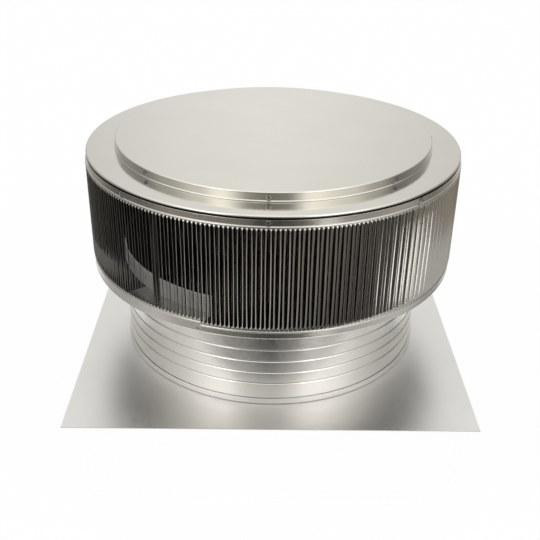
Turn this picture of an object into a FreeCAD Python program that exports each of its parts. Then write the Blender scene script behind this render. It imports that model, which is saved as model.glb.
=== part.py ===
import FreeCAD, Part
import math
import os

# Roof vent: a round gravity ventilator of mill-finish aluminium sheet.
# A square flange lies on the roof, a ribbed collar stands in its hole, and a crown
# of lanced louvres under a broad cap lets the air out and keeps the rain off.
# Millimetres, +Z up, origin at the middle of the flange's underside.
# The front of the vent looks along -Y, and azimuths turn from there towards +X.

# Sheet thicknesses
FLANGE_SHEET = 1.6
COLLAR_SHEET = 2.0
PAN_SHEET = 1.2
STRIP_SHEET = 0.8
CAP_SHEET = 1.2
LID_SHEET = 1.2
STAY_SHEET = 3.0

# Roof flange: a square sheet whose hole is turned up into a neck
FLANGE_MARGIN = 114.3
NECK_HEIGHT = 18.5

# Collar: a rolled sheet with swaged ribs, lapped at the back
COLLAR_RADIUS = 457.2
WEIR_HEIGHT = 54.0
RIB_COUNT = 4
RIB_FIRST = 68.5
RIB_PITCH = 37.4
RIB_WIDTH = 8.0
RIB_DEPTH = 1.4
LAP_SHEET = 0.8
LAP_WIDTH = 26.0
LAP_AZIMUTH = 180.0
LAP_RIVETS = 6

# Crown pan: the floor between the collar and the louvre strips
PAN_FLOOR = 280.0

# Louvre strips: two half rings of lanced sheet, the rear one with the broader lower margin
CROWN_REACH = 90.3
STRIP_STARTS = (-20.0, 160.0)
HOOP_HEIGHTS = (20.6, 29.3)
BAND_FOOT = 600.0
BAND_HEIGHT = 19.1
LIP_DEPTH = 1.8
LIP_HEIGHT = 5.0
TAB_WIDTH = 24.0
TAB_REACH = 18.0
TAB_HEIGHT = 15.0

# Louvres: straps left standing between the cuts, each twisted half open about its middle.
# By turns they twist a little less and sit to one side, then twist more and sit to the other.
VANES_PER_STRIP = 148
SECTORS_PER_STRIP = 4
VANE_TWISTS = (40.0, 46.0)
VANE_SHIFTS = (-1.0, 1.0)
VANE_GAP = 0.5

# Cap ring and lid
CAP_FOLD = 8.0
CAP_CLEARANCE = 0.3
LID_OVERLAP = 6.0
LID_SKIRT = 25.5
LID_CLEARANCE = 0.3

# Stays that hold the cap to the collar
STAY_COUNT = 4
STAY_FIRST = 45.0
STAY_WIDTH = 25.0
STAY_TOE = 22.0
STAY_CLEARANCE = 0.3
STAY_RIVET_SHARES = (0.25, 0.75)

# Fastener heads
SCREW_COUNT = 8
SCREW_FLATS = 9.5
SCREW_HEAD = 4.5
LID_SCREW_FIRST = -1.8
LID_SCREW_RISE = 14.0
BAND_SCREW_FIRST = -1.6
BAND_SCREW_RISE = 10.5
RIVET_WIDTH = 6.4
RIVET_HEAD = 1.4

# Sizes that follow from the ones above
FLANGE_SIDE = 2.0 * (COLLAR_RADIUS + FLANGE_MARGIN)
COLLAR_BORE = COLLAR_RADIUS - COLLAR_SHEET
COLLAR_HEIGHT = PAN_FLOOR + WEIR_HEIGHT
STRIP_RADIUS = COLLAR_RADIUS + CROWN_REACH
STRIP_INSIDE = STRIP_RADIUS - STRIP_SHEET
STRIP_TURN = 360.0 / len(STRIP_STARTS)
BAND_TOP = BAND_FOOT + BAND_HEIGHT
VANE_PITCH = STRIP_TURN / VANES_PER_STRIP
VANE_WIDTH = math.radians(VANE_PITCH) * STRIP_RADIUS - VANE_GAP
CAP_RADIUS = STRIP_INSIDE - CAP_CLEARANCE
CAP_WALL = CAP_RADIUS - CAP_SHEET
CAP_TOP = BAND_TOP + CAP_FOLD
CAP_UNDER = CAP_TOP - CAP_SHEET
LID_RADIUS = COLLAR_RADIUS + LID_OVERLAP
UPSTAND_OUT = LID_RADIUS - LID_SHEET
UPSTAND_IN = UPSTAND_OUT - CAP_SHEET
LID_FOOT = CAP_TOP + LID_CLEARANCE
LID_TOP = LID_FOOT + LID_SKIRT
LID_UNDER = LID_TOP - LID_SHEET

ORIGIN = FreeCAD.Vector(0, 0, 0)
UP = FreeCAD.Vector(0, 0, 1)
OUTWARD = FreeCAD.Vector(1, 0, 0)
FRONT_HEADING = -90.0


def turned(shape, azimuth):
    """Copy of a shape made along +X, turned to face its azimuth."""
    copy = shape.copy()
    copy.rotate(ORIGIN, UP, FRONT_HEADING + azimuth)
    return copy


def revolved(outline, start=0.0, turn=360.0):
    """Turn a closed outline of (radius, height) points from one azimuth on."""
    corners = [FreeCAD.Vector(radius, 0, height) for radius, height in outline]
    face = Part.Face(Part.makePolygon(corners + corners[:1]))
    return turned(face.revolve(ORIGIN, UP, turn), start)


def arc_angle(length, radius):
    """Degrees that a length along a circle spans."""
    return math.degrees(length / radius)


def evenly(count, first):
    """Azimuths of count equal steps round the vent."""
    return [first + step * 360.0 / count for step in range(count)]


def six_sided_head(flats, height, seat, level):
    """Fastener head on radius seat, pointing outwards; flats is the width across them."""
    corner = flats / 2.0 / math.cos(math.pi / 6.0)
    ring = []
    for side in range(6):
        angle = math.pi / 3.0 * side
        ring.append(FreeCAD.Vector(seat, corner * math.sin(angle), level + corner * math.cos(angle)))
    face = Part.Face(Part.makePolygon(ring + ring[:1]))
    return face.extrude(OUTWARD * height)


def rivet_head(seat, level):
    """Low rivet head on radius seat."""
    return six_sided_head(RIVET_WIDTH, RIVET_HEAD, seat, level)


def make_flange():
    """Square sheet with a round hole, turned up into a neck round the collar's foot."""
    half = FLANGE_SIDE / 2.0
    sheet = Part.makeBox(FLANGE_SIDE, FLANGE_SIDE, FLANGE_SHEET, FreeCAD.Vector(-half, -half, 0))
    neck = Part.makeCylinder(COLLAR_RADIUS + FLANGE_SHEET, NECK_HEIGHT)
    hole = Part.makeCylinder(COLLAR_RADIUS, NECK_HEIGHT)
    return sheet.fuse(neck).removeSplitter().cut(hole)


def make_collar():
    """Rolled sheet with V ribs swaged into it; its upper edge is the weir inside the crown."""
    half = RIB_WIDTH / 2.0
    outline = [(COLLAR_RADIUS, 0.0)]
    for rib in range(RIB_COUNT):
        level = RIB_FIRST + rib * RIB_PITCH
        outline.append((COLLAR_RADIUS, level - half))
        outline.append((COLLAR_RADIUS - RIB_DEPTH, level))
        outline.append((COLLAR_RADIUS, level + half))
    outline.append((COLLAR_RADIUS, COLLAR_HEIGHT))
    outline.append((COLLAR_BORE, COLLAR_HEIGHT))
    outline.append((COLLAR_BORE, 0.0))
    return revolved(outline)


def make_collar_lap():
    """Cover strip over the collar's seam, from the flange's neck up to the pan."""
    turn = arc_angle(LAP_WIDTH, COLLAR_RADIUS)
    return revolved([
        (COLLAR_RADIUS, NECK_HEIGHT),
        (COLLAR_RADIUS + LAP_SHEET, NECK_HEIGHT),
        (COLLAR_RADIUS + LAP_SHEET, PAN_FLOOR - PAN_SHEET),
        (COLLAR_RADIUS, PAN_FLOOR - PAN_SHEET),
    ], LAP_AZIMUTH - turn / 2.0, turn)


def make_lap_rivets():
    """Rivet heads of the collar's seam, midway between the ribs."""
    heads = []
    for row in range(LAP_RIVETS):
        level = RIB_FIRST + (row - 0.5) * RIB_PITCH
        head = rivet_head(COLLAR_RADIUS + LAP_SHEET, level)
        heads.append(turned(head, LAP_AZIMUTH))
    return heads


def make_pan():
    """Flat ring from the collar out to the strips, which stand on it."""
    return revolved([
        (COLLAR_RADIUS, PAN_FLOOR - PAN_SHEET),
        (STRIP_RADIUS, PAN_FLOOR - PAN_SHEET),
        (STRIP_RADIUS, PAN_FLOOR),
        (COLLAR_RADIUS, PAN_FLOOR),
    ])


def joint_tab(strip, foot, head):
    """End of a strip's margin that laps over the strip beside it."""
    reach = arc_angle(TAB_REACH, STRIP_RADIUS)
    turn = arc_angle(TAB_WIDTH, STRIP_RADIUS)
    outline = [
        (STRIP_RADIUS, foot),
        (STRIP_RADIUS + STRIP_SHEET, foot),
        (STRIP_RADIUS + STRIP_SHEET, head),
        (STRIP_RADIUS, head),
    ]
    return revolved(outline, STRIP_STARTS[strip] - reach, turn)


def make_hoop(strip):
    """Lower margin of a louvre strip, with a lip along its top."""
    top = PAN_FLOOR + HOOP_HEIGHTS[strip]
    margin = revolved([
        (STRIP_INSIDE, PAN_FLOOR),
        (STRIP_RADIUS, PAN_FLOOR),
        (STRIP_RADIUS, top - LIP_HEIGHT),
        (STRIP_RADIUS + LIP_DEPTH, top),
        (STRIP_INSIDE, top),
    ], STRIP_STARTS[strip], STRIP_TURN)
    return margin.fuse(joint_tab(strip, PAN_FLOOR, PAN_FLOOR + TAB_HEIGHT))


def make_band(strip):
    """Upper margin of a louvre strip, with a lip along its foot."""
    margin = revolved([
        (STRIP_INSIDE, BAND_FOOT),
        (STRIP_RADIUS + LIP_DEPTH, BAND_FOOT),
        (STRIP_RADIUS, BAND_FOOT + LIP_HEIGHT),
        (STRIP_RADIUS, BAND_TOP),
        (STRIP_INSIDE, BAND_TOP),
    ], STRIP_STARTS[strip], STRIP_TURN)
    return margin.fuse(joint_tab(strip, BAND_FOOT + LIP_HEIGHT, BAND_TOP))


def make_vane(twist, shift, foot):
    """One louvre: a strap twisted about its middle, flat in front and with a ridge behind."""
    angle = math.radians(twist)
    across = FreeCAD.Vector(math.sin(angle), math.cos(angle), 0) * (VANE_WIDTH / 2.0)
    behind = FreeCAD.Vector(-math.cos(angle), math.sin(angle), 0) * STRIP_SHEET
    middle = FreeCAD.Vector(STRIP_RADIUS, shift, foot)
    section = [middle - across, middle + across, middle + behind]
    face = Part.Face(Part.makePolygon(section + section[:1]))
    return face.extrude(UP * (BAND_FOOT - foot))


def make_vanes(strip, sector):
    """The vanes of one sector of a strip, with the two twists taking turns."""
    foot = PAN_FLOOR + HOOP_HEIGHTS[strip]
    patterns = [make_vane(twist, shift, foot) for twist, shift in zip(VANE_TWISTS, VANE_SHIFTS)]
    share = VANES_PER_STRIP / SECTORS_PER_STRIP
    numbers = range(round(sector * share), round((sector + 1) * share))
    start = STRIP_STARTS[strip] + VANE_PITCH / 2.0
    return [turned(patterns[n % len(patterns)], start + n * VANE_PITCH) for n in numbers]


def make_joint_rivets():
    """Rivet heads of the two lap joints, one low and one high on each."""
    low = PAN_FLOOR + TAB_HEIGHT / 2.0
    high = BAND_FOOT + (LIP_HEIGHT + BAND_HEIGHT) / 2.0
    back = arc_angle(TAB_REACH / 2.0, STRIP_RADIUS)
    seat = STRIP_RADIUS + STRIP_SHEET
    return [turned(rivet_head(seat, level), start - back)
            for start in STRIP_STARTS for level in (low, high)]


def make_cap_ring():
    """Broad flat brim, with a skirt inside the band and an upstand under the lid."""
    return revolved([
        (CAP_WALL, BAND_FOOT),
        (CAP_RADIUS, BAND_FOOT),
        (CAP_RADIUS, CAP_TOP),
        (UPSTAND_OUT, CAP_TOP),
        (UPSTAND_OUT, LID_UNDER),
        (UPSTAND_IN, LID_UNDER),
        (UPSTAND_IN, CAP_UNDER),
        (CAP_WALL, CAP_UNDER),
    ])


def make_lid():
    """Flat disc with a short skirt over the cap ring's upstand."""
    return revolved([
        (0.0, LID_UNDER),
        (UPSTAND_OUT, LID_UNDER),
        (UPSTAND_OUT, LID_FOOT),
        (LID_RADIUS, LID_FOOT),
        (LID_RADIUS, LID_TOP),
        (0.0, LID_TOP),
    ])


def make_stay():
    """Flat bar up the outside of the weir, its toe turned out under the brim."""
    face = COLLAR_RADIUS + STAY_SHEET
    toe = face + STAY_TOE
    head = CAP_UNDER - STAY_CLEARANCE
    outline = [
        (COLLAR_BORE, PAN_FLOOR),
        (face, PAN_FLOOR),
        (face, head - STAY_SHEET),
        (toe, head - STAY_SHEET),
        (toe, head),
        (COLLAR_BORE, head),
    ]
    corners = [FreeCAD.Vector(radius, -STAY_WIDTH / 2.0, level) for radius, level in outline]
    side = Part.Face(Part.makePolygon(corners + corners[:1]))
    bar = side.extrude(FreeCAD.Vector(0, STAY_WIDTH, 0))
    return bar.cut(Part.makeCylinder(COLLAR_RADIUS, LID_TOP))


def make_stays():
    """The stays, evenly round the weir."""
    stay = make_stay()
    return [turned(stay, azimuth) for azimuth in evenly(STAY_COUNT, STAY_FIRST)]


def make_stay_rivets():
    """Rivet heads that hold each stay's foot to the weir."""
    levels = [PAN_FLOOR + share * WEIR_HEIGHT for share in STAY_RIVET_SHARES]
    heads = [rivet_head(COLLAR_RADIUS + STAY_SHEET, level) for level in levels]
    return [turned(head, azimuth) for azimuth in evenly(STAY_COUNT, STAY_FIRST) for head in heads]


def make_screws(seat, level, first):
    """Hexagon screw heads round the vent, standing on one radius at one level."""
    head = six_sided_head(SCREW_FLATS, SCREW_HEAD, seat, level)
    return [turned(head, azimuth) for azimuth in evenly(SCREW_COUNT, first)]


def export(name, *solids):
    """Write one node: a single solid, or a group of separate ones."""
    shape = solids[0] if len(solids) == 1 else Part.makeCompound(list(solids))
    shape.exportStep("parts/%s.step" % name)


def main():
    os.makedirs("parts", exist_ok=True)
    export("roof_flange", make_flange())
    export("collar", make_collar())
    export("collar_lap", make_collar_lap())
    export("collar_lap_rivets", *make_lap_rivets())
    export("crown_pan", make_pan())
    for strip, side in enumerate(("front", "rear")):
        export("louvre_hoop_%s" % side, make_hoop(strip))
        export("louvre_band_%s" % side, make_band(strip))
        for sector in range(SECTORS_PER_STRIP):
            export("louvre_vanes_%s_%d" % (side, sector + 1), *make_vanes(strip, sector))
    export("strip_joint_rivets", *make_joint_rivets())
    export("cap_ring", make_cap_ring())
    export("cap_stays", *make_stays())
    export("cap_stay_rivets", *make_stay_rivets())
    export("lid", make_lid())
    export("lid_screws", *make_screws(LID_RADIUS, LID_FOOT + LID_SCREW_RISE, LID_SCREW_FIRST))
    export("band_screws", *make_screws(STRIP_RADIUS, BAND_FOOT + BAND_SCREW_RISE, BAND_SCREW_FIRST))


main()
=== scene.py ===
import math
import random

import bpy
from mathutils import Matrix, Vector, noise


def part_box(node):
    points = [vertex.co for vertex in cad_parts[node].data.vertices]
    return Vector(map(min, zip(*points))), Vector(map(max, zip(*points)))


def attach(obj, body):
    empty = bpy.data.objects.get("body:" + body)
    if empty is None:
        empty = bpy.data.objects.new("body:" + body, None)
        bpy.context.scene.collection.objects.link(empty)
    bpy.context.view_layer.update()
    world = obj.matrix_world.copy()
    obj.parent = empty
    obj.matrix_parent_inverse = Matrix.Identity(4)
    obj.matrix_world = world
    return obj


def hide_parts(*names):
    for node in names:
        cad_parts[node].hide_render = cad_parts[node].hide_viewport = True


# A round gravity roof vent of mill-finish aluminium sheet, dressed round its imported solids.
# Metres, +Z up. The front looks along -Y, and azimuths turn from there towards +X.

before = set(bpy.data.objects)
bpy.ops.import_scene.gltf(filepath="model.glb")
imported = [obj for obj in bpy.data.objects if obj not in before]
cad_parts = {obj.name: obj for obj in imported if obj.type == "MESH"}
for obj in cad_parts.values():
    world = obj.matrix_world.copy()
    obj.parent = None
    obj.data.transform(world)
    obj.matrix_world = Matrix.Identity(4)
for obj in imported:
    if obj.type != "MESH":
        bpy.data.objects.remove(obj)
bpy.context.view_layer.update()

MM = 0.001
SEED = 7
RING_STEPS = 360
SHARP_ANGLE = 35.0

# Sizes read from the solids
FLANGE_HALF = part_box("roof_flange")[1].x
NECK_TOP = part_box("roof_flange")[1].z
COLLAR_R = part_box("collar")[1].x
WEIR_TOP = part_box("collar")[1].z
PAN_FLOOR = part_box("crown_pan")[1].z
STRIP_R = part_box("crown_pan")[1].x
HOOP_TOPS = {side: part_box("louvre_hoop_" + side)[1].z for side in ("front", "rear")}
BAND_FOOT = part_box("louvre_band_front")[0].z
LID_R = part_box("lid")[1].x
LID_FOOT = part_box("lid")[0].z
LID_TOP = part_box("lid")[1].z
LID_SCREW_Z = (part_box("lid_screws")[0].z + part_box("lid_screws")[1].z) / 2
BAND_SCREW_Z = (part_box("band_screws")[0].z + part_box("band_screws")[1].z) / 2

# Sheets
SHEET = 1.2 * MM
STRIP_SHEET = 0.8 * MM
FLANGE_SHEET = 1.6 * MM
PLATE_FILLET = 0.3 * MM

# Distance of the support points that keep flats flat, and the shortest flat that gets them
HOLD = 0.6 * MM
HELD_RUN = 3.0 * MM

# Flange and neck; a ripple is its place in the noise, its wavelength and its depth
NECK_GAP = 0.1 * MM
NECK_SHEET = 4.2 * MM
NECK_LIP = 2.4 * MM
NECK_FILLET = 0.4 * MM
NECK_UNDERCUT = 2.6 * MM
UNDERCUT_TOP = 2.4 * MM
UNDERCUT_FOOT = 1.2 * MM
NECK_APRON = 9.0 * MM
FLANGE_RINGS = 40
FLANGE_RIPPLE = (0.0, 0.28, 1.0 * MM)
FADE_AT_NECK = 60.0 * MM
FADE_AT_EDGE = 30.0 * MM

# Collar, its foot in the neck, and its ribs, measured up and down from each rib's level
COLLAR_INSET = 0.3 * MM
COLLAR_WALL = 4.0 * MM
FOOT_INSET = 0.5 * MM
FOOT_STEP = (1.0 * MM, 3.0 * MM)
FOOT_FILLETS = (0.5 * MM, 1.0 * MM)
WEIR_FILLET = 1.7 * MM
RIB_PITCH = 37.4 * MM
RIB_LEVELS = [68.5 * MM + RIB_PITCH * rib for rib in range(4)]
RIB_DEPTH = 2.6 * MM
RIB_HEIGHTS = (-3.4 * MM, -0.6 * MM, 3.2 * MM)
RIB_FILLETS = (1.2 * MM, 0.8 * MM, 1.5 * MM)
# Painted shade along each rib: its rise above the rib's level, half its height, and how far in its faces lie
CREASE_RISE = 1.2 * MM
CREASE_HALF = 1.8 * MM
CREASE_DEPTH = 0.25 * MM
WEIR_DROP = 0.5 * MM
# How far out from the bore the painted shade on it reaches
BORE_REACH = 0.5 * MM
LAP_WIDTH = 26.0 * MM
LAP_SHEET = 1.0 * MM
LAP_INSET = 0.2 * MM

# Crown pan's rolled rim
PAN_RIM_OUT = 0.9 * MM
PAN_RIM_HIGH = 2.9 * MM
PAN_RIM_FILLET = 1.4 * MM
PAN_RIM_RETURN = 9.0 * MM
# Painted shade on the pan: how far inside the strips and how level its faces must be
PAN_EDGE = 2.0 * MM
LEVEL_FACE = 0.9

# Margins of the louvre strips, with the tabs that lap at their joints
BEAD_OUT = 2.2 * MM
BAND_BEAD_OUT = 3.6 * MM
BEAD_HIGH = 6.0 * MM
BEAD_DROP = 5.5 * MM
BEAD_STEPS = 8
BAND_BEVEL = (0.3 * MM, 0.8 * MM)
TAB_REACH = 18.0 * MM
TAB_WIDTH = 24.0 * MM
TAB_GAPS = (0.3 * MM, 0.4 * MM)
HOOP_TAB_HEAD = 15.0 * MM

# Brim with its rim, the groove below it, the skirt in the band and the upstand in the lid
CAP_TOP = LID_FOOT - 0.3 * MM
RIM_FILLET = 4.2 * MM
RIM_FOLD = 5.0 * MM
GROOVE_HIGH = 5.5 * MM
GROOVE_DEEP = 8.0 * MM
GROOVE_FILLET = 0.6 * MM
SKIRT_GAP = 0.2 * MM
SKIRT_RISE = 0.5 * MM
SKIRT_FILLET = 0.4 * MM
UPSTAND_GAP = 0.1 * MM
UPSTAND_FILLET = 2.0 * MM
UPSTAND_DROP = 8.0 * MM
# Painted shade under the rim: how far above the fold it reaches, and how far inside the rim it covers the
# brim's underside
FOLD_EDGE = 0.1 * MM
RIM_EDGE = 2.0 * MM

# Lid
LID_FILLET = 3.6 * MM
LID_LIP = 4.0 * MM
LID_HEM = 2.4 * MM
HEM_LEVELS = (1.8 * MM, 3.6 * MM)
HEM_FILLETS = (0.3 * MM, 1.3 * MM, 0.6 * MM)
LID_SHOULDER = 12.0 * MM
LID_RINGS = 30
LID_RIPPLE = (3.0, 0.35, 0.9 * MM)
FADE_AT_RIM = 80.0 * MM

# Louvre straps, and the steps in which their edges and heights are drawn
STRIP_STARTS = {"front": -20.0, "rear": 160.0}
VANES_PER_STRIP = 148
SECTORS = 4
VANE_TWISTS = (40.0, 46.0)
TWIST_SPREAD = 1.2
VANE_SHIFTS = (-1.0 * MM, 1.0 * MM)
VANE_GAP = 0.5 * MM
BOW_SPREAD = 0.25 * MM
SHIFT_REACH = 90.0 * MM
HEAD_LENGTH = 8.0 * MM
FOOT_LENGTH = 13.0 * MM
EDGE_STEPS = 3
FOOT_STEPS = 8
MIDDLE_STEPS = 8
HEAD_STEPS = 7

# Rear straps between these azimuths are turned the other way
BENT = (226.0, 231.0)
BENT_TWIST = -49.0

# Pressed shoulder at a strap's head
FACET_HALF = 3.1 * MM
FACET_HIGH = 5.0 * MM
FACET_OUT = 4.6 * MM
FACET_ASIDE = 2.6 * MM
FACET_LIFT = 0.2 * MM

# A strap's flat counts as its inner one where its normal leans this far to the axis
INWARD_FACE = -0.2

# Azimuths between which the metal inside the crown keeps its own tone, and the weir gets a painted light
# patch; elsewhere it gets painted shade
WEIR_LIT_RANGE = (-80.0, -21.0)
PAN_UNSHADED_RANGE = (-52.0, -21.0)
INNER_UNSHADED_RANGE = (-100.0, -38.0)

# Fasteners, how far they sink into what carries them, and their places
SUNK = 0.1 * MM
LID_SCREW_SUNK = 0.3 * MM
SCREW_FLATS = 9.5 * MM
SCREW_HEAD = 4.5 * MM
RIVET_WIDTH = 7.0 * MM
RIVET_HIGH = 1.8 * MM
WASHER_LEVELS = (0.7 * MM, 1.1 * MM)
WASHER_SHARES = (0.74, 0.62)
WASHER_SIDES = 28
HEAD_SEAT = 0.9 * MM
HEAD_CHAMFER = 0.8 * MM
HEAD_DISH = 0.3 * MM
HEAD_SHARES = (0.84, 0.6)
RIVET_DISH = 0.5 * MM
RIVET_SHARES = (0.14, 0.1)
RIVET_STEPS = 6
RIVET_SIDES = 20
HEX_SIDES = 6
SCREW_STEP = 45.0
LID_SCREW_TURN = -1.8
BAND_SCREW_TURN = -1.6
FIRST_STAY = 45.0
STAY_STEP = 90.0
STAY_FACE = 2.9 * MM
STAY_RIVETS = (0.25, 0.75)
SEAM_FACE = 0.7 * MM
SEAM_RIVETS = 6
HOOP_RIVET_RISE = 7.5 * MM
BAND_RIVET_RISE = 12.0 * MM

# Stage: white paper on a studio floor, cards on it, and a curb whose top under the flange is a dark board,
# painted shade for the dark inside the vent
FLOOR_DROP = 0.30
FLOOR_UNDER = 0.004
FLOOR_REACH = 14.0
PAPER_FRONT = -0.72
PAPER_BACK = 9.0
PAPER_HALF_FRONT = 0.80
PAPER_HALF_BACK = 3.8
PAPER_COLOUR = (0.86, 0.86, 0.86, 1)
PAPER_SHOWN = 0.95
FLOOR_COLOUR = (0.8, 0.8, 0.8, 1)
# Dark board on the curb's top: painted shade for the dark inside the vent
BOARD_SHADE_COLOUR = (0.03, 0.028, 0.025, 1)
CARD_RISE = 0.01
CURB_INSET = 0.05
CURB_DROP = 0.002

# Pale cards on the floor to the right: name, corners as azimuth and distance from the axis, level
CARDS = (
    ("card_bright", ((17.0, 1.6), (25.0, 2.32), (36.0, 2.32), (29.0, 1.6)), 1.9),
    ("card_pale", ((29.0, 1.6), (36.0, 2.32), (90.0, 2.32), (90.0, 1.6)), 0.6),
)

# Levels that metal sees round it, by degrees to the right of the front
NEAR_LEVELS = ((-180, 0.6), (-95, 0.6), (-62, 1.2), (-40, 1.8), (-20, 0.95), (0, 0.48), (20, 1.15),
               (36, 1.65), (62, 1.05), (95, 0.45), (180, 0.6))
MID_LEVELS = ((-180, 1.15), (-140, 1.15), (-120, 0.6), (-90, 0.6), (-62, 0.85), (-45, 0.55),
              (-22, 0.14), (0, 0.04), (14, 0.14), (26, 0.38), (45, 0.48), (68, 0.75), (92, 0.45),
              (115, 0.4), (138, 1.1), (180, 1.15))
FAR_LEVELS = ((-180, 0.8), (-150, 0.6), (-125, 0.35), (-95, 0.11), (-76, 0.11), (-52, 0.24),
              (-35, 0.2), (-18, 0.2), (-6, 0.06), (5, 0.06), (22, 0.16), (48, 0.28), (72, 0.36),
              (98, 0.2), (115, 0.3), (145, 0.65), (180, 0.8))
ROOM_LEVELS = ((-180, 0.93), (-160, 0.7), (-135, 0.42), (-102, 0.3), (-80, 0.55), (-54, 0.95),
               (-37, 1.6), (-14, 0.36), (-2, 0.24), (10, 0.32), (26, 1.5), (56, 1.05), (76, 0.6),
               (98, 0.24), (125, 0.34), (160, 0.7), (180, 0.93))
RAMP_SCALE = 2.0

# Distances from the axis between which the floor's zones blend, and their tints
NEAR_REACH = (0.95, 1.15)
MID_REACH = (1.15, 2.3)
NEUTRAL = (1.0, 0.99, 0.97)
WARM = (1.0, 0.90, 0.77)

# The room's upper part, and the rise of a direction between which it takes over
ROOM_TOP = 1.2
ROOM_RISE = (0.47, 0.8)
ROOM_TINT = (1.0, 1.0, 0.985, 1)

# Lamps to the left and right of the camera, aimed at the crown
LAMP_AZIMUTHS = {"lamp_left": -44.0, "lamp_right": 40.0}
LAMP_ELEVATION = 40.0
LAMP_DISTANCE = 3.4
LAMP_SIZE = (1.6, 1.2)
LAMP_LEVEL = 0.9
LAMP_AIM = Vector((0, 0, 0.5))

# Camera, solved from the photograph's 540 by 540 frame
IMAGE_SIDE = 540.0
FOCAL_PIXELS = 815.15
SENSOR = 36.0
CAMERA_PLACE = Vector((-0.0268, -2.3130, 1.4405))
CAMERA_PITCH = math.radians(28.504)
CAMERA_YAW = math.radians(0.564)
CAMERA_ROLL = math.radians(0.916)


def heading(azimuth):
    """Unit vector from the axis towards an azimuth in degrees."""
    angle = math.radians(azimuth)
    return Vector((math.sin(angle), -math.cos(angle), 0.0))


def bearing(point):
    """Azimuth in degrees of a point."""
    return math.degrees(math.atan2(point.x, -point.y))


def arc_angle(length, radius):
    """Degrees that a length along a circle spans."""
    return math.degrees(length / radius)


def rounded(corners, steps=5):
    """Open polyline of (radius, height, fillet) with an arc at each filleted corner."""
    points = []
    for i, (r, z, fillet) in enumerate(corners):
        here = Vector((r, z))
        if fillet == 0 or i == 0 or i == len(corners) - 1:
            points.append(here)
            continue
        before = (Vector(corners[i - 1][:2]) - here).normalized()
        after = (Vector(corners[i + 1][:2]) - here).normalized()
        half = math.acos(max(-1.0, min(1.0, before.dot(after)))) / 2
        reach = fillet / math.tan(half)
        centre = here + (before + after).normalized() * (fillet / math.sin(half))
        first = (here + before * reach - centre).normalized()
        last = (here + after * reach - centre).normalized()
        points += [centre + first.slerp(last, step / steps) * fillet for step in range(steps + 1)]
    return points


def sheet_outline(path, thickness):
    """Closed outline of a sheet whose shown face is the path; it thickens to the path's left."""
    inner = []
    for i, point in enumerate(path):
        ahead = path[min(i + 1, len(path) - 1)] - point
        behind = point - path[max(i - 1, 0)]
        ahead = ahead.normalized() if ahead.length > 0 else behind.normalized()
        behind = behind.normalized() if behind.length > 0 else ahead
        along = (ahead + behind).normalized()
        normal = Vector((-along.y, along.x))
        stretch = max(0.5, normal.dot(Vector((-ahead.y, ahead.x))))
        inner.append(point + normal * (thickness / stretch))
    return list(path) + inner[::-1]


def held(points, closed=True):
    """The same outline with points beside the ends of each long run, so that flats shade flat."""
    kept = []
    points = [Vector(point) for point in points]
    for i, here in enumerate(points):
        kept.append(here)
        if i == len(points) - 1 and not closed:
            break
        ahead = points[(i + 1) % len(points)]
        run = ahead - here
        if run.length > HELD_RUN:
            kept += [here + run.normalized() * HOLD, ahead - run.normalized() * HOLD]
    return kept


def lathe(outline, start=0.0, turn=360.0):
    """Vertices and faces of a closed outline of (radius, height) turned round the axis."""
    outline = held(outline)
    whole = abs(turn) >= 360.0
    count = max(2, round(RING_STEPS * abs(turn) / 360.0))
    rows = count if whole else count + 1
    size = len(outline)
    verts = []
    for row in range(rows):
        out = heading(start + turn * row / count)
        verts += [out * r + Vector((0, 0, z)) for r, z in outline]
    faces = []
    for row in range(count):
        a = row * size
        b = (row + 1) % rows * size
        for i in range(size):
            j = (i + 1) % size
            faces.append((a + i, b + i, b + j, a + j))
    if not whole:
        faces.append(tuple(range(size))[::-1])
        faces.append(tuple(range((rows - 1) * size, rows * size)))
    return verts, faces


def joined(parts):
    """One vertex and face list from several."""
    verts, faces = [], []
    for part_verts, part_faces in parts:
        base = len(verts)
        verts += part_verts
        faces += [tuple(base + i for i in face) for face in part_faces]
    return verts, faces


def piece(name, shape, material, slot, *nodes):
    """Make a piece from vertices and faces, smooth it by angle, and seat it on the frame."""
    verts, faces = shape
    mesh = bpy.data.meshes.new(name)
    mesh.from_pydata([tuple(v) for v in verts], [], faces)
    mesh.validate()
    mesh.polygons.foreach_set("use_smooth", [True] * len(mesh.polygons))
    mesh.set_sharp_from_angle(angle=math.radians(SHARP_ANGLE))
    mesh.materials.append(material)
    made = bpy.data.objects.new(name, mesh)
    bpy.context.scene.collection.objects.link(made)
    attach(made, "root")
    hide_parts(*nodes)
    return made


class Nodes:
    """A material's node tree, with short calls to add and join nodes."""

    def __init__(self, tree):
        self.tree = tree

    def add(self, kind, inputs=None, **settings):
        node = self.tree.nodes.new(kind)
        for key, value in settings.items():
            setattr(node, key, value)
        for key, value in (inputs or {}).items():
            socket = node.inputs[key]
            if isinstance(value, bpy.types.NodeSocket):
                self.tree.links.new(value, socket)
            else:
                socket.default_value = value
        return node


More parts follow.
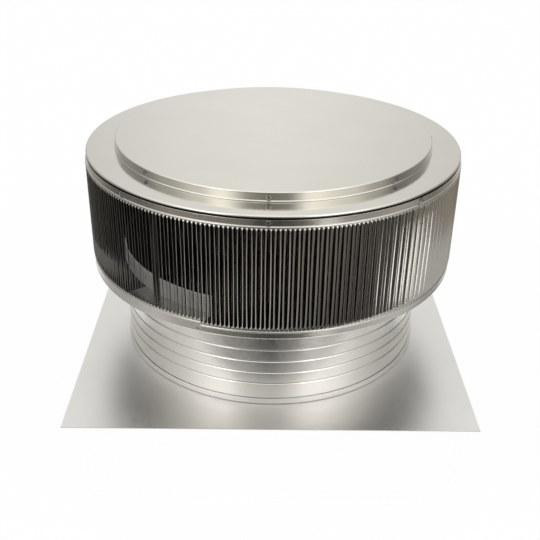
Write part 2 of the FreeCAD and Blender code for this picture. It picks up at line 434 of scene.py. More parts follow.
def aluminium(name, tint, roughness, grain, grain_depth, cloud=0.10, smear=0.0, bare=1.0):
    """Mill-finish sheet: rolling grain stretched along one axis, faint clouds and fine scratches.

    smear draws reflections out up and down, as the rolling grain round the vent does.
    bare is the share of bright metal; the rest is matt, which on the weir makes a painted light patch.
    """
    material = bpy.data.materials.new(name)
    material.use_nodes = True
    tree = material.node_tree
    tree.nodes.clear()
    nodes = Nodes(tree)
    place = nodes.add("ShaderNodeTexCoord").outputs["Object"]
    stretched = nodes.add("ShaderNodeMapping", {"Vector": place, "Scale": grain})
    fine = nodes.add("ShaderNodeTexNoise", {"Vector": stretched.outputs["Vector"], "Scale": 900.0,
                                            "Detail": 3.0, "Roughness": 0.6})
    clouds = nodes.add("ShaderNodeTexNoise", {"Vector": place, "Scale": 5.5, "Detail": 4.0,
                                              "Roughness": 0.55})
    specks = nodes.add("ShaderNodeTexNoise", {"Vector": place, "Scale": 60.0, "Detail": 5.0,
                                              "Roughness": 0.7})
    dull = tuple(channel * (1.0 - cloud) for channel in tint) + (1.0,)
    bright = tuple(tint) + (1.0,)
    shade = nodes.add("ShaderNodeMix", {"Factor": clouds.outputs["Fac"], "A": dull, "B": bright},
                      data_type="RGBA")
    spread = nodes.add("ShaderNodeMapRange", {"Value": fine.outputs["Fac"], "From Min": 0.3,
                                              "From Max": 0.7, "To Min": roughness - 0.02,
                                              "To Max": roughness + 0.02})
    stain = nodes.add("ShaderNodeMapRange", {"Value": specks.outputs["Fac"], "From Min": 0.35,
                                             "From Max": 0.75, "To Min": -0.02, "To Max": 0.05})
    rough = nodes.add("ShaderNodeMath", {0: spread.outputs["Result"], 1: stain.outputs["Result"]},
                      operation="ADD")
    bump = nodes.add("ShaderNodeBump", {"Height": fine.outputs["Fac"], "Distance": grain_depth,
                                        "Strength": 0.05})
    shader = nodes.add("ShaderNodeBsdfPrincipled", {
        "Base Color": shade.outputs["Result"], "Roughness": rough.outputs["Value"],
        "Normal": bump.outputs["Normal"], "Metallic": bare, "Anisotropic": smear})
    if smear > 0.0:
        way = nodes.add("ShaderNodeCombineXYZ", {"X": 0.0, "Y": 0.0, "Z": 1.0})
        tree.links.new(way.outputs["Vector"], shader.inputs["Tangent"])
    nodes.add("ShaderNodeOutputMaterial", {"Surface": shader.outputs["BSDF"]})
    return material


# Finishes: name, tint, roughness, how the grain is scaled along X, Y and Z, and how deep it is
METALS = {
    "flange": aluminium("flange_sheet", (0.84, 0.825, 0.80), 0.35, (1.0, 0.05, 1.0), 0.01 * MM),
    "collar": aluminium("collar_sheet", (0.84, 0.825, 0.785), 0.21, (1.0, 1.0, 0.08), 0.01 * MM,
                        smear=0.75),
    "crown": aluminium("crown_sheet", (0.74, 0.725, 0.69), 0.26, (1.0, 1.0, 0.1), 0.01 * MM, smear=0.8),
    # The strap sheet's tint is darker than the other sheet's: painted shade for the dark strap faces.
    "louvre": aluminium("louvre_sheet", (0.64, 0.62, 0.575), 0.15, (1.0, 1.0, 0.04), 0.002 * MM,
                        cloud=0.2),
    "cap": aluminium("cap_sheet", (0.775, 0.75, 0.69), 0.12, (0.06, 1.0, 1.0), 0.01 * MM),
    "margin": aluminium("margin_sheet", (0.72, 0.70, 0.655), 0.22, (1.0, 1.0, 0.1), 0.001 * MM, smear=0.7),
    # Painted light: a bright, mostly matt copy of the collar sheet for a lit patch on the weir.
    "weir": aluminium("weir_painted_light", (0.92, 0.91, 0.88), 0.3, (1.0, 1.0, 0.08), 0.01 * MM, bare=0.15),
    # Painted shade: a dark copy of the collar sheet along each rib's upper flank.
    "crease": aluminium("rib_painted_shade", (0.36, 0.345, 0.32), 0.35, (1.0, 1.0, 0.08), 0.005 * MM),
    # Painted shade: a darker copy of the collar sheet on the collar's bore.
    "bore": aluminium("collar_bore_painted_shade", (0.46, 0.45, 0.42), 0.35, (1.0, 1.0, 0.08), 0.005 * MM),
    # Painted shade: a near-black copy of the sheet inside the crown and in the cap's groove.
    "inside": aluminium("shaded_sheet", (0.09, 0.085, 0.08), 0.4, (1.0, 1.0, 0.08), 0.005 * MM),
    # Painted highlight: a brighter copy of the strap sheet on cut edges and head facets.
    "cut": aluminium("strap_painted_highlight", (0.80, 0.79, 0.76), 0.32, (1.0, 1.0, 0.3), 0.02 * MM),
    "stay": aluminium("stay_bar", (0.26, 0.255, 0.245), 0.34, (1.0, 1.0, 0.1), 0.02 * MM),
    "fastener": aluminium("fasteners", (0.36, 0.35, 0.335), 0.14, (1.0, 1.0, 1.0), 0.01 * MM),
}


def ripple(x, y, z, wavelength, depth):
    """Slow random rise and fall of hand-worked sheet."""
    return noise.noise(Vector((x, y, z)) / wavelength) * depth


def make_flange():
    """Square sheet, rippled a little, with its hole turned up into a neck that is undercut at its foot."""
    neck_out = COLLAR_R + NECK_SHEET
    undercut = neck_out - NECK_UNDERCUT
    profile = held(rounded([(COLLAR_R + NECK_GAP, NECK_TOP, 0), (neck_out, NECK_TOP, NECK_LIP),
                            (neck_out, FLANGE_SHEET + UNDERCUT_TOP, NECK_FILLET),
                            (undercut, FLANGE_SHEET + UNDERCUT_FOOT, 0), (undercut, FLANGE_SHEET, 0),
                            (neck_out + NECK_APRON, FLANGE_SHEET, 0)]), closed=False)
    start = profile[-1].x
    verts, faces = [], []
    for step in range(RING_STEPS):
        out = heading(step * 360.0 / RING_STEPS)
        edge = FLANGE_HALF / max(abs(out.x), abs(out.y))
        column = [out * r + Vector((0, 0, z)) for r, z in profile]
        for ring in range(1, FLANGE_RINGS + 1):
            r = start + (edge - start) * ring / FLANGE_RINGS
            spot = out * r
            fade = min(1.0, (r - start) / FADE_AT_NECK) * min(1.0, (edge - r) / FADE_AT_EDGE)
            lift = abs(ripple(spot.x, spot.y, *FLANGE_RIPPLE)) * fade
            column.append(spot + Vector((0, 0, FLANGE_SHEET + lift)))
        column.append(out * edge)
        column.append(out * COLLAR_R)
        column.append(out * COLLAR_R + Vector((0, 0, NECK_TOP)))
        verts += column
    size = len(verts) // RING_STEPS
    for step in range(RING_STEPS):
        a, b = step * size, (step + 1) % RING_STEPS * size
        for i in range(size):
            j = (i + 1) % size
            faces.append((a + i, a + j, b + j, b + i))
    piece("flange_dressed", (verts, faces), METALS["flange"], "flange_sheet", "roof_flange")


def make_collar():
    """Rolled cylinder with V ribs, steeper below, painted shade along each rib's upper flank, and a rolled
    edge along the weir.
    """
    shown = COLLAR_R - COLLAR_INSET
    bore = COLLAR_R - COLLAR_WALL
    path = [(shown - FOOT_INSET, 0.0, 0), (shown - FOOT_INSET, NECK_TOP + FOOT_STEP[0], FOOT_FILLETS[0]),
            (shown, NECK_TOP + FOOT_STEP[1], FOOT_FILLETS[1])]
    for level in RIB_LEVELS:
        for r, height, fillet in zip((shown, shown - RIB_DEPTH, shown), RIB_HEIGHTS, RIB_FILLETS):
            path.append((r, level + height, fillet))
    path += [(shown, PAN_FLOOR - WEIR_DROP, 0), (shown, WEIR_TOP, WEIR_FILLET),
             (bore, WEIR_TOP, WEIR_FILLET), (bore, 0.0, 0)]
    made = piece("collar_dressed", lathe(rounded(path)), METALS["collar"], "collar_sheet", "collar")
    for finish in ("bore", "weir", "inside", "crease"):
        made.data.materials.append(METALS[finish])
    for face in made.data.polygons:
        out = Vector(face.center.xy).length
        above = min(abs(face.center.z - level - CREASE_RISE) for level in RIB_LEVELS)
        # Painted shade on the collar's bore
        if out < bore + BORE_REACH:
            face.material_index = 1
        # Painted shade on each rib's upper flank
        elif above < CREASE_HALF and out < shown - CREASE_DEPTH:
            face.material_index = 4
        # Above the pan: a painted light patch on the weir between its listed azimuths, painted shade
        # elsewhere
        elif face.center.z > PAN_FLOOR:
            face.material_index = 2 if WEIR_LIT_RANGE[0] < bearing(face.center) < WEIR_LIT_RANGE[1] else 3


def plate(radius, foot, head, start, turn, thickness):
    """Curved plate with softened edges on a cylinder."""
    outline = rounded([(radius, foot, 0), (radius + thickness, foot, PLATE_FILLET),
                       (radius + thickness, head, PLATE_FILLET), (radius, head, 0)], 2)
    return lathe(outline, start, turn)


def make_collar_lap():
    """Cover strip of the collar's seam."""
    turn = arc_angle(LAP_WIDTH, COLLAR_R)
    shape = plate(COLLAR_R - LAP_INSET, NECK_TOP, PAN_FLOOR - SHEET, 180 - turn / 2, turn, LAP_SHEET)
    piece("collar_lap_dressed", shape, METALS["collar"], "collar_sheet", "collar_lap")


def make_pan():
    """Ring-shaped floor with a rolled rim under the strips."""
    edge = STRIP_R + PAN_RIM_OUT
    under = PAN_FLOOR - PAN_RIM_HIGH
    path = rounded([(COLLAR_R, PAN_FLOOR, 0), (edge, PAN_FLOOR, PAN_RIM_FILLET),
                    (edge, under, PAN_RIM_FILLET), (edge - PAN_RIM_RETURN, under, 0)])
    shape = lathe(sheet_outline(path, -SHEET))
    made = piece("crown_pan_dressed", shape, METALS["crown"], "crown_sheet", "crown_pan")
    made.data.materials.append(METALS["inside"])
    # Painted shade on the pan's level faces inside the strips, except between its listed azimuths
    for face in made.data.polygons:
        unshaded = PAN_UNSHADED_RANGE[0] < bearing(face.center) < PAN_UNSHADED_RANGE[1]
        within = Vector(face.center.xy).length < STRIP_R - PAN_EDGE
        if abs(face.normal.z) > LEVEL_FACE and within and not unshaded:
            face.material_index = 1


def margin_outline(foot, head, bead_at_head):
    """Section of a strip's margin: flat sheet with a half-round bead along its louvred edge."""
    inside = STRIP_R - STRIP_SHEET
    if bead_at_head:
        low, high, reach = head - BEAD_HIGH, head, BEAD_OUT
    else:
        low, high, reach = foot - BEAD_DROP, foot - BEAD_DROP + BEAD_HIGH, BAND_BEAD_OUT
    bead = []
    for step in range(BEAD_STEPS + 1):
        angle = math.pi * step / BEAD_STEPS
        z = (low + high) / 2 - math.cos(angle) * BEAD_HIGH / 2
        bead.append((STRIP_R + math.sin(angle) * reach, z))
    if bead_at_head:
        return [(STRIP_R, foot)] + bead + [(inside, head), (inside, foot)]
    across, down = BAND_BEVEL
    return bead + [(STRIP_R, head - down), (STRIP_R - across, head), (inside, head), (inside, low)]


def make_margin(side, which):
    """Hoop or band of one strip, with the tab that laps over the strip beside it."""
    start = STRIP_STARTS[side]
    if which == "hoop":
        foot, head = PAN_FLOOR, HOOP_TOPS[side]
        tab_foot, tab_head = PAN_FLOOR + TAB_GAPS[0], PAN_FLOOR + HOOP_TAB_HEAD
    else:
        foot, head = BAND_FOOT, CAP_TOP - RIM_FOLD - GROOVE_HIGH
        tab_foot, tab_head = BAND_FOOT + BEAD_HIGH, head - TAB_GAPS[1]
    ring = lathe(margin_outline(foot, head, which == "hoop"), start, 180.0)
    tab = plate(STRIP_R, tab_foot, tab_head, start - arc_angle(TAB_REACH, STRIP_R),
                arc_angle(TAB_WIDTH, STRIP_R), STRIP_SHEET)
    node = "louvre_%s_%s" % (which, side)
    piece(node + "_dressed", joined([ring, tab]), METALS["margin"], "crown_sheet", node)


def smooth(share):
    """Ease from 0 to 1."""
    share = max(0.0, min(1.0, share))
    return share * share * (3 - 2 * share)


def vane_levels(foot, head):
    """Heights at which a louvre's section is drawn: close together where it twists."""
    low = [foot + FOOT_LENGTH * step / FOOT_STEPS for step in range(FOOT_STEPS + 1)]
    high = [head - HEAD_LENGTH * (1 - step / HEAD_STEPS) for step in range(HEAD_STEPS + 1)]
    rise = high[0] - low[-1]
    middle = [low[-1] + rise * step / MIDDLE_STEPS for step in range(1, MIDDLE_STEPS)]
    return low + middle + high


def strap_section(width):
    """Half-round ended section of a strap, as (across, through) offsets from its middle."""
    flat, half = width / 2 - STRIP_SHEET / 2, STRIP_SHEET / 2
    points = []
    for side in (1, -1):
        for step in range(EDGE_STEPS + 1):
            angle = side * math.pi / 2 - side * math.pi * step / EDGE_STEPS
            points.append((side * (flat + half * math.cos(angle)), half * math.sin(angle)))
    return points


def vane(azimuth, twist, shift, foot, head, width, bow):
    """One lanced strap: flat in the margins' plane at both ends, twisted and moved aside between."""
    levels = vane_levels(foot, head)
    section = strap_section(width)
    out, right = heading(azimuth), heading(azimuth + 90.0)
    verts = []
    for level in levels:
        turn_in = min(smooth((level - foot) / FOOT_LENGTH), smooth((head - level) / HEAD_LENGTH))
        angle = math.radians(twist) * turn_in
        share = (level - foot) / (head - foot)
        middle = STRIP_R - STRIP_SHEET / 2 + bow * math.sin(math.pi * share)
        along = out * math.sin(angle) + right * math.cos(angle)
        normal = out * math.cos(angle) - right * math.sin(angle)
        aside = shift * smooth(min(level - foot, head - level) / SHIFT_REACH)
        centre = out * middle + right * aside + Vector((0, 0, level))
        verts += [centre + along * a + normal * t for a, t in section]
    size = len(section)
    faces = []
    for row in range(len(levels) - 1):
        a = row * size
        for i in range(size):
            j = (i + 1) % size
            faces.append((a + i, a + j, a + size + j, a + size + i))
    faces.append(tuple(range(size))[::-1])
    last = (len(levels) - 1) * size
    faces.append(tuple(range(last, last + size)))
    return verts, faces


def head_facet(azimuth, head):
    """Lanced shoulder at a strap's head: a closed wedge, broad under the bead and pointed below."""
    out, right = heading(azimuth), heading(azimuth + 90.0)
    middle = right * FACET_ASIDE
    behind = out * (STRIP_R - STRIP_SHEET) + middle
    above = out * (STRIP_R + FACET_LIFT) + middle + Vector((0, 0, head))
    below = Vector((0, 0, head - FACET_HIGH))
    verts = [above - right * FACET_HALF, above + right * FACET_HALF,
             out * (STRIP_R + FACET_OUT) + middle + below, behind + below]
    return verts, [(0, 2, 1), (0, 1, 3), (0, 3, 2), (1, 2, 3)]


def finish_straps(mesh):
    """Painted highlight on the cut edges and head facets, and painted shade on the inward faces outside the
    unshaded range.
    """
    for face in mesh.polygons:
        first, second = (mesh.vertices[i].co for i in face.vertices[:2])
        # Painted highlight on the cut edges and head facets
        if len(face.vertices) == 3 or (len(face.vertices) == 4 and (first - second).length < STRIP_SHEET):
            face.material_index = 1
        elif face.normal.dot(Vector((face.center.x, face.center.y, 0)).normalized()) < INWARD_FACE:
            # Painted shade on the inward faces, except between their listed azimuths
            if not INNER_UNSHADED_RANGE[0] < bearing(face.center) < INNER_UNSHADED_RANGE[1]:
                face.material_index = 2


def make_vanes(side):
    """All the louvres of one strip, in the sectors of the solids, each a little off its twist."""
    chance = random.Random(SEED + len(side))
    pitch = 180.0 / VANES_PER_STRIP
    width = math.radians(pitch) * STRIP_R - VANE_GAP
    foot, head = HOOP_TOPS[side], BAND_FOOT - BEAD_DROP
    per_sector = VANES_PER_STRIP // SECTORS
    for sector in range(SECTORS):
        straps = []
        for n in range(sector * per_sector, (sector + 1) * per_sector):
            twist = VANE_TWISTS[n % 2] + chance.gauss(0, TWIST_SPREAD)
            azimuth = STRIP_STARTS[side] + (n + 0.5) * pitch
            if BENT[0] < azimuth < BENT[1]:
                twist = BENT_TWIST
            bow = chance.gauss(0, BOW_SPREAD)
            straps.append(vane(azimuth, twist, VANE_SHIFTS[n % 2], foot, head, width, bow))
            straps.append(head_facet(azimuth, head))
        node = "louvre_vanes_%s_%d" % (side, sector + 1)
        made = piece(node + "_dressed", joined(straps), METALS["louvre"], "louvre_sheet", node)
        made.data.materials.append(METALS["cut"])
        made.data.materials.append(METALS["inside"])
        finish_straps(made.data)


def make_cap_ring():
    """Flat brim with a rounded, folded rim, and its skirt inside the band below a narrow groove."""
    skirt = STRIP_R - STRIP_SHEET - SKIRT_GAP
    recess = STRIP_R - GROOVE_DEEP
    fold = CAP_TOP - RIM_FOLD
    groove = fold - GROOVE_HIGH
    upstand = LID_R - SHEET - UPSTAND_GAP
    path = rounded([(skirt, BAND_FOOT + SKIRT_RISE, 0), (skirt, groove - GROOVE_FILLET, SKIRT_FILLET),
                    (recess, groove, GROOVE_FILLET), (recess, fold, GROOVE_FILLET),
                    (STRIP_R, fold, GROOVE_FILLET), (STRIP_R, CAP_TOP, RIM_FILLET),
                    (upstand, CAP_TOP, UPSTAND_FILLET), (upstand, LID_TOP - UPSTAND_DROP, 0)])
    shape = lathe(sheet_outline(path, SHEET))
    made = piece("cap_ring_dressed", shape, METALS["cap"], "cap_sheet", "cap_ring")
    made.data.materials.append(METALS["inside"])
    # Painted shade on the groove and skirt below the fold and on the brim's underside
    for face in made.data.polygons:
        level, out = face.center.z, Vector(face.center.xy).length
        if level < fold + FOLD_EDGE or (out < STRIP_R - RIM_EDGE and level < CAP_TOP - SHEET / 2):
            face.material_index = 1


def make_lid():
    """Flat pan with a rounded edge, a short skirt and a rolled hem round its foot."""
    inner, hem = LID_R - SHEET, LID_R + LID_HEM
    edge = rounded([(inner, LID_FOOT + LID_LIP, 0), (inner, LID_FOOT, 0), (hem, LID_FOOT, HEM_FILLETS[0]),
                    (hem, LID_FOOT + HEM_LEVELS[0], HEM_FILLETS[1]),
                    (LID_R, LID_FOOT + HEM_LEVELS[1], HEM_FILLETS[2]), (LID_R, LID_TOP, LID_FILLET),
                    (LID_R - LID_SHOULDER, LID_TOP, 0)])
    edge = held(edge, closed=False)
    start = edge[-1].x
    verts, faces = [], []
    for step in range(RING_STEPS):
        out = heading(step * 360.0 / RING_STEPS)
        column = [out * r + Vector((0, 0, z)) for r, z in edge]
        for ring in range(1, LID_RINGS):
            r = start * (1 - ring / LID_RINGS)
            spot = out * r
            fade = min(1.0, (start - r) / FADE_AT_RIM)
            sink = abs(ripple(spot.x, spot.y, *LID_RIPPLE)) * fade
            column.append(spot + Vector((0, 0, LID_TOP - sink)))
        verts += column
    size = len(verts) // RING_STEPS
    top = len(verts)
    verts.append(Vector((0, 0, LID_TOP - abs(ripple(0, 0, *LID_RIPPLE)))))
    under = len(verts)
    verts.append(Vector((0, 0, LID_TOP - SHEET * 2)))
    for step in range(RING_STEPS):
        a, b = step * size, (step + 1) % RING_STEPS * size
        for i in range(size - 1):
            faces.append((a + i, b + i, b + i + 1, a + i + 1))
        faces.append((a + size - 1, b + size - 1, top))
        faces.append((a, under, b))
    piece("lid_dressed", (verts, faces), METALS["cap"], "cap_sheet", "lid")


def seated(shape, azimuth, radius, level):
    """Turn a fastener made along +X to its azimuth and set it at its radius and level."""
    verts, faces = shape
    out, right = heading(azimuth), heading(azimuth + 90.0)
    placed = [out * (radius + v.x) + right * v.y + Vector((0, 0, level + v.z)) for v in verts]
    return placed, faces


def spun(profile, sides):
    """Surface of (height, radius) points spun round +X, closed at its far end."""
    verts, faces = [], []
    for height, radius in profile[:-1]:
        for side in range(sides):
            angle = 2 * math.pi * side / sides
            verts.append(Vector((height, radius * math.cos(angle), radius * math.sin(angle))))
    verts.append(Vector((profile[-1][0], 0, 0)))
    rows = len(profile) - 1
    for row in range(rows - 1):
        for side in range(sides):
            ahead = (side + 1) % sides
            faces.append((row * sides + side, row * sides + ahead,
                          (row + 1) * sides + ahead, (row + 1) * sides + side))
    for side in range(sides):
        faces.append(((rows - 1) * sides + side, (rows - 1) * sides + (side + 1) % sides, len(verts) - 1))
    faces.append(tuple(range(sides))[::-1])
    return verts, faces


def hex_screw(flats, height):
    """Hexagon head with a washer face and a chamfered crown."""
    rim, brow = (flats * share for share in WASHER_SHARES)
    edge, top = WASHER_LEVELS
    washer = spun([(0, rim), (edge, rim), (top, brow), (top, 0)], WASHER_SIDES)
    corner = flats / 2 / math.cos(math.pi / HEX_SIDES)
    crown, dish = (corner * share for share in HEAD_SHARES)
    sunk = height - HEAD_DISH
    head = spun([(HEAD_SEAT, corner), (height - HEAD_CHAMFER, corner), (height, crown), (sunk, dish),
                 (sunk, 0)], HEX_SIDES)
    return joined([washer, head])


def dome_rivet(width, height):
    """Low domed head with its sunk middle."""
    profile = [(0, width / 2)]
    for step in range(1, RIVET_STEPS):
        angle = math.pi / 2 * step / RIVET_STEPS
        profile.append((height * math.sin(angle), width / 2 * math.cos(angle)))
    rim, dish = (width * share for share in RIVET_SHARES)
    profile += [(height, rim), (height - RIVET_DISH, dish), (height - RIVET_DISH, 0)]
    return spun(profile, RIVET_SIDES)


def make_fasteners():
    """Screws of the lid and band, and the rivets of the laps and stays."""
    screw = hex_screw(SCREW_FLATS, SCREW_HEAD)
    rivet = dome_rivet(RIVET_WIDTH, RIVET_HIGH)
    azimuths = [step * SCREW_STEP for step in range(round(360.0 / SCREW_STEP))]
    lid = [seated(screw, azimuth + LID_SCREW_TURN, LID_R - LID_SCREW_SUNK, LID_SCREW_Z)
           for azimuth in azimuths]
    band = [seated(screw, azimuth + BAND_SCREW_TURN, STRIP_R - SUNK, BAND_SCREW_Z)
            for azimuth in azimuths]
    back = arc_angle(TAB_REACH / 2, STRIP_R)
    lap_levels = (PAN_FLOOR + HOOP_RIVET_RISE, BAND_FOOT + BAND_RIVET_RISE)
    laps = [seated(rivet, start - back, STRIP_R + STRIP_SHEET - SUNK, level)
            for start in STRIP_STARTS.values() for level in lap_levels]
    seam = [seated(rivet, 180.0, COLLAR_R + SEAM_FACE, RIB_LEVELS[0] + (row - 0.5) * RIB_PITCH)
            for row in range(SEAM_RIVETS)]
    weir = WEIR_TOP - PAN_FLOOR
    stays = [seated(rivet, FIRST_STAY + STAY_STEP * n, COLLAR_R + STAY_FACE, PAN_FLOOR + weir * share)
             for n in range(round(360.0 / STAY_STEP)) for share in STAY_RIVETS]
    metal = METALS["fastener"]
    piece("lid_screws_dressed", joined(lid), metal, "fasteners", "lid_screws")
    piece("band_screws_dressed", joined(band), metal, "fasteners", "band_screws")
    piece("strip_joint_rivets_dressed", joined(laps), metal, "fasteners", "strip_joint_rivets")
    piece("collar_lap_rivets_dressed", joined(seam), metal, "fasteners", "collar_lap_rivets")
    piece("cap_stay_rivets_dressed", joined(stays), metal, "fasteners", "cap_stay_rivets")


def dress_stays():
    """The stays keep their solids and take a bar finish."""
    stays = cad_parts["cap_stays"]
    stays.data.materials.clear()
    stays.data.materials.append(METALS["stay"])


def stage_material(name, colour, shown):
    """Matt stage surface; what the camera and the metal see of it is lifted to its shown level."""
    material = bpy.data.materials.new(name)
    material.use_nodes = True
    tree = material.node_tree
    tree.nodes.clear()
    nodes = Nodes(tree)
    matt = nodes.add("ShaderNodeBsdfDiffuse", {"Color": colour})
    glow = nodes.add("ShaderNodeEmission", {"Color": (1, 1, 1, 1), "Strength": 1.0})
    path = nodes.add("ShaderNodeLightPath")
    seen = nodes.add("ShaderNodeMath", {0: path.outputs["Is Camera Ray"], 1: path.outputs["Is Glossy Ray"]},
                     operation="MAXIMUM")
    seen = nodes.add("ShaderNodeMath", {0: seen.outputs["Value"], 1: path.outputs["Is Transmission Ray"]},
                     operation="MAXIMUM")
    share = nodes.add("ShaderNodeMath", {0: seen.outputs["Value"], 1: shown}, operation="MULTIPLY")
    mixed = nodes.add("ShaderNodeMixShader", {0: share.outputs["Value"], 1: matt.outputs["BSDF"],
                                              2: glow.outputs["Emission"]})
    nodes.add("ShaderNodeOutputMaterial", {"Surface": mixed.outputs["Shader"]})
    return material


def square(half, z):
    """Corners of a level square round the axis."""
    return [(-half, -half, z), (half, -half, z), (half, half, z), (-half, half, z)]


def stage_plane(name, corners, material):
    """Flat stage sheet through four corners."""
    mesh = bpy.data.meshes.new(name)
    mesh.from_pydata(corners, [], [(0, 1, 2, 3)])
    mesh.materials.append(material)
    sheet = bpy.data.objects.new(name, mesh)
    bpy.context.scene.collection.objects.link(sheet)
    return sheet


def studio_level(nodes, direction, levels):
    """Level that eases between the given ones with the horizontal angle from the front."""
    parts = nodes.add("ShaderNodeSeparateXYZ", {"Vector": direction})
    front = nodes.add("ShaderNodeMath", {0: parts.outputs["Y"], 1: -1.0}, operation="MULTIPLY")
    turn = nodes.add("ShaderNodeMath", {0: parts.outputs["X"], 1: front.outputs["Value"]},
                     operation="ARCTAN2")
    share = nodes.add("ShaderNodeMapRange", {"Value": turn.outputs["Value"], "From Min": -math.pi,
                                             "From Max": math.pi})
    ramp = nodes.add("ShaderNodeValToRGB", {"Fac": share.outputs["Result"]})
    ramp.color_ramp.interpolation = "EASE"
    stops = ramp.color_ramp.elements
    while len(stops) < len(levels):
        stops.new(0.5)
    for stop, (degrees, level) in zip(stops, levels):
        stop.position = 0.5 + degrees / 360.0
        stop.color = [level / RAMP_SCALE] * 3 + [1.0]
    return nodes.add("ShaderNodeMath", {0: ramp.outputs["Color"], 1: RAMP_SCALE},
                     operation="MULTIPLY").outputs["Value"]


def floor_material():
    """Pale floor that metal sees at levels of three zones, from near the vent to far out."""
    material = bpy.data.materials.new("stage_floor")
    material.use_nodes = True
    tree = material.node_tree
    tree.nodes.clear()
    nodes = Nodes(tree)
    place = nodes.add("ShaderNodeTexCoord").outputs["Object"]
    reach = nodes.add("ShaderNodeVectorMath", {0: place}, operation="LENGTH").outputs["Value"]
    zones = []
    for tint, levels in ((NEUTRAL, NEAR_LEVELS), (NEUTRAL, MID_LEVELS), (WARM, FAR_LEVELS)):
        level = studio_level(nodes, place, levels)
        zones.append(nodes.add("ShaderNodeVectorMath", {0: tint, "Scale": level},
                               operation="SCALE").outputs["Vector"])
    shade = zones[0]
    for zone, (inner, outer) in zip(zones[1:], (NEAR_REACH, MID_REACH)):
        share = nodes.add("ShaderNodeMapRange", {"Value": reach, "From Min": inner, "From Max": outer})
        shade = nodes.add("ShaderNodeMix", {"Factor": share.outputs["Result"], "A": shade, "B": zone},
                          data_type="VECTOR").outputs["Result"]
    matt = nodes.add("ShaderNodeBsdfDiffuse", {"Color": FLOOR_COLOUR})
    glow = nodes.add("ShaderNodeEmission", {"Color": shade, "Strength": 1.0})
    seen = nodes.add("ShaderNodeLightPath").outputs["Is Glossy Ray"]
    mixed = nodes.add("ShaderNodeMixShader", {0: seen, 1: matt.outputs["BSDF"], 2: glow.outputs["Emission"]})
    nodes.add("ShaderNodeOutputMaterial", {"Surface": mixed.outputs["Shader"]})
    return material


def card_material(name, level):
    """Pale card that metal sees at its level."""
    material = bpy.data.materials.new("stage_" + name)
    material.use_nodes = True
    tree = material.node_tree
    tree.nodes.clear()
    nodes = Nodes(tree)
    glow = nodes.add("ShaderNodeEmission", {"Color": NEUTRAL + (1.0,), "Strength": level})
    nodes.add("ShaderNodeOutputMaterial", {"Surface": glow.outputs["Emission"]})
    return material


def make_stage():
    """White paper under everything the camera sees, studio floor, cards, and a curb below the flange."""
    paper = stage_material("stage_paper", PAPER_COLOUR, PAPER_SHOWN)
    z = -FLOOR_DROP
    stage_plane("paper", [(-PAPER_HALF_FRONT, PAPER_FRONT, z), (PAPER_HALF_FRONT, PAPER_FRONT, z),
                          (PAPER_HALF_BACK, PAPER_BACK, z), (-PAPER_HALF_BACK, PAPER_BACK, z)], paper)
    floor = stage_plane("studio_floor", square(FLOOR_REACH, z - FLOOR_UNDER), floor_material())
    floor.visible_camera = False
    for name, corners, level in CARDS:
        ground = [tuple(heading(azimuth) * reach + Vector((0, 0, z + CARD_RISE)))
                  for azimuth, reach in corners]
        stage_plane(name, ground, card_material(name, level)).visible_camera = False
    half = FLANGE_HALF - CURB_INSET
    top = -CURB_DROP
    for n in range(4):
        turn = Matrix.Rotation(math.pi / 2 * n, 4, "Z")
        corners = [turn @ Vector(c) for c in ((-half, -half, z), (half, -half, z),
                                              (half, -half, top), (-half, -half, top))]
        stage_plane("curb_side_%d" % (n + 1), [tuple(c) for c in corners], paper)
    # The curb's top is a dark board under the collar's opening: painted shade for the dark inside the vent
    board = stage_material("stage_shade_board", BOARD_SHADE_COLOUR, 0.0)
    stage_plane("curb_top", square(half, top), board)


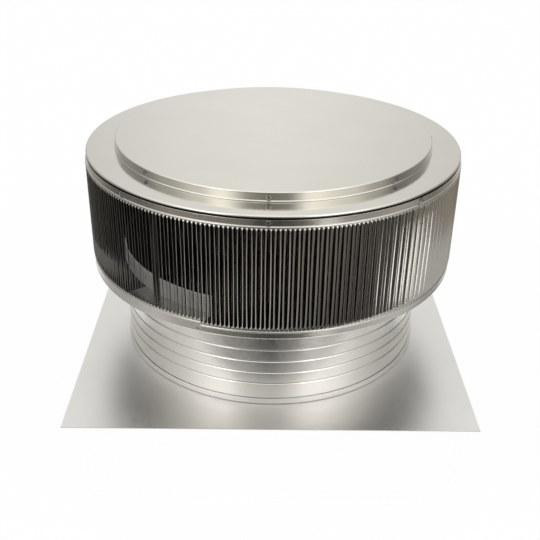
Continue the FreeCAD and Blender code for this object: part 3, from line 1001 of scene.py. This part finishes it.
def make_world():
    """Studio of uneven levels round the vent, even overhead, and pure white to the camera."""
    world = bpy.data.worlds.new("studio")
    bpy.context.scene.world = world
    world.use_nodes = True
    tree = world.node_tree
    tree.nodes.clear()
    nodes = Nodes(tree)
    way = nodes.add("ShaderNodeTexCoord").outputs["Generated"]
    rise = nodes.add("ShaderNodeSeparateXYZ", {"Vector": way}).outputs["Z"]
    high = nodes.add("ShaderNodeMapRange", {"Value": rise, "From Min": ROOM_RISE[0],
                                            "From Max": ROOM_RISE[1]},
                     interpolation_type="SMOOTHSTEP").outputs["Result"]
    level = studio_level(nodes, way, ROOM_LEVELS)
    level = nodes.add("ShaderNodeMix", {"Factor": high, "A": level, "B": ROOM_TOP})
    path = nodes.add("ShaderNodeLightPath").outputs["Is Camera Ray"]
    seen = nodes.add("ShaderNodeMix", {"Factor": path, "A": level.outputs["Result"], "B": 1.0})
    room = nodes.add("ShaderNodeBackground", {"Color": ROOM_TINT,
                                              "Strength": seen.outputs["Result"]})
    nodes.add("ShaderNodeOutputWorld", {"Surface": room.outputs["Background"]})


def make_lamps():
    """Broad soft lamps on both sides of the camera, facing the crown."""
    width, height = LAMP_SIZE
    rise = math.radians(LAMP_ELEVATION)
    for name, azimuth in LAMP_AZIMUTHS.items():
        away = heading(azimuth) * math.cos(rise) + Vector((0, 0, math.sin(rise)))
        data = bpy.data.lights.new(name, "AREA")
        data.shape = "RECTANGLE"
        data.size = width
        data.size_y = height
        data.energy = LAMP_LEVEL * math.pi * width * height
        lamp = bpy.data.objects.new(name, data)
        bpy.context.scene.collection.objects.link(lamp)
        lamp.location = LAMP_AIM + away * LAMP_DISTANCE
        lamp.rotation_euler = (-away).to_track_quat("-Z", "Y").to_euler()


def make_camera():
    """The photograph's camera."""
    data = bpy.data.cameras.new("camera")
    data.sensor_width = SENSOR
    data.lens = FOCAL_PIXELS / IMAGE_SIDE * SENSOR
    ahead = Vector((math.sin(CAMERA_YAW) * math.cos(CAMERA_PITCH),
                    math.cos(CAMERA_YAW) * math.cos(CAMERA_PITCH), -math.sin(CAMERA_PITCH)))
    level = Vector((math.cos(CAMERA_YAW), -math.sin(CAMERA_YAW), 0.0))
    upright = level.cross(ahead)
    right = level * math.cos(CAMERA_ROLL) + upright * math.sin(CAMERA_ROLL)
    up = upright * math.cos(CAMERA_ROLL) - level * math.sin(CAMERA_ROLL)
    camera = bpy.data.objects.new("camera", data)
    bpy.context.scene.collection.objects.link(camera)
    camera.matrix_world = Matrix((
        (right.x, up.x, -ahead.x, CAMERA_PLACE.x),
        (right.y, up.y, -ahead.y, CAMERA_PLACE.y),
        (right.z, up.z, -ahead.z, CAMERA_PLACE.z),
        (0, 0, 0, 1)))
    bpy.context.scene.camera = camera


make_camera()
make_flange()
make_collar()
make_collar_lap()
make_pan()
for side in STRIP_STARTS:
    make_margin(side, "hoop")
    make_margin(side, "band")
    make_vanes(side)
make_cap_ring()
make_lid()
make_fasteners()
dress_stays()
make_stage()
make_world()
make_lamps()
bpy.context.scene.view_settings.view_transform = "Standard"
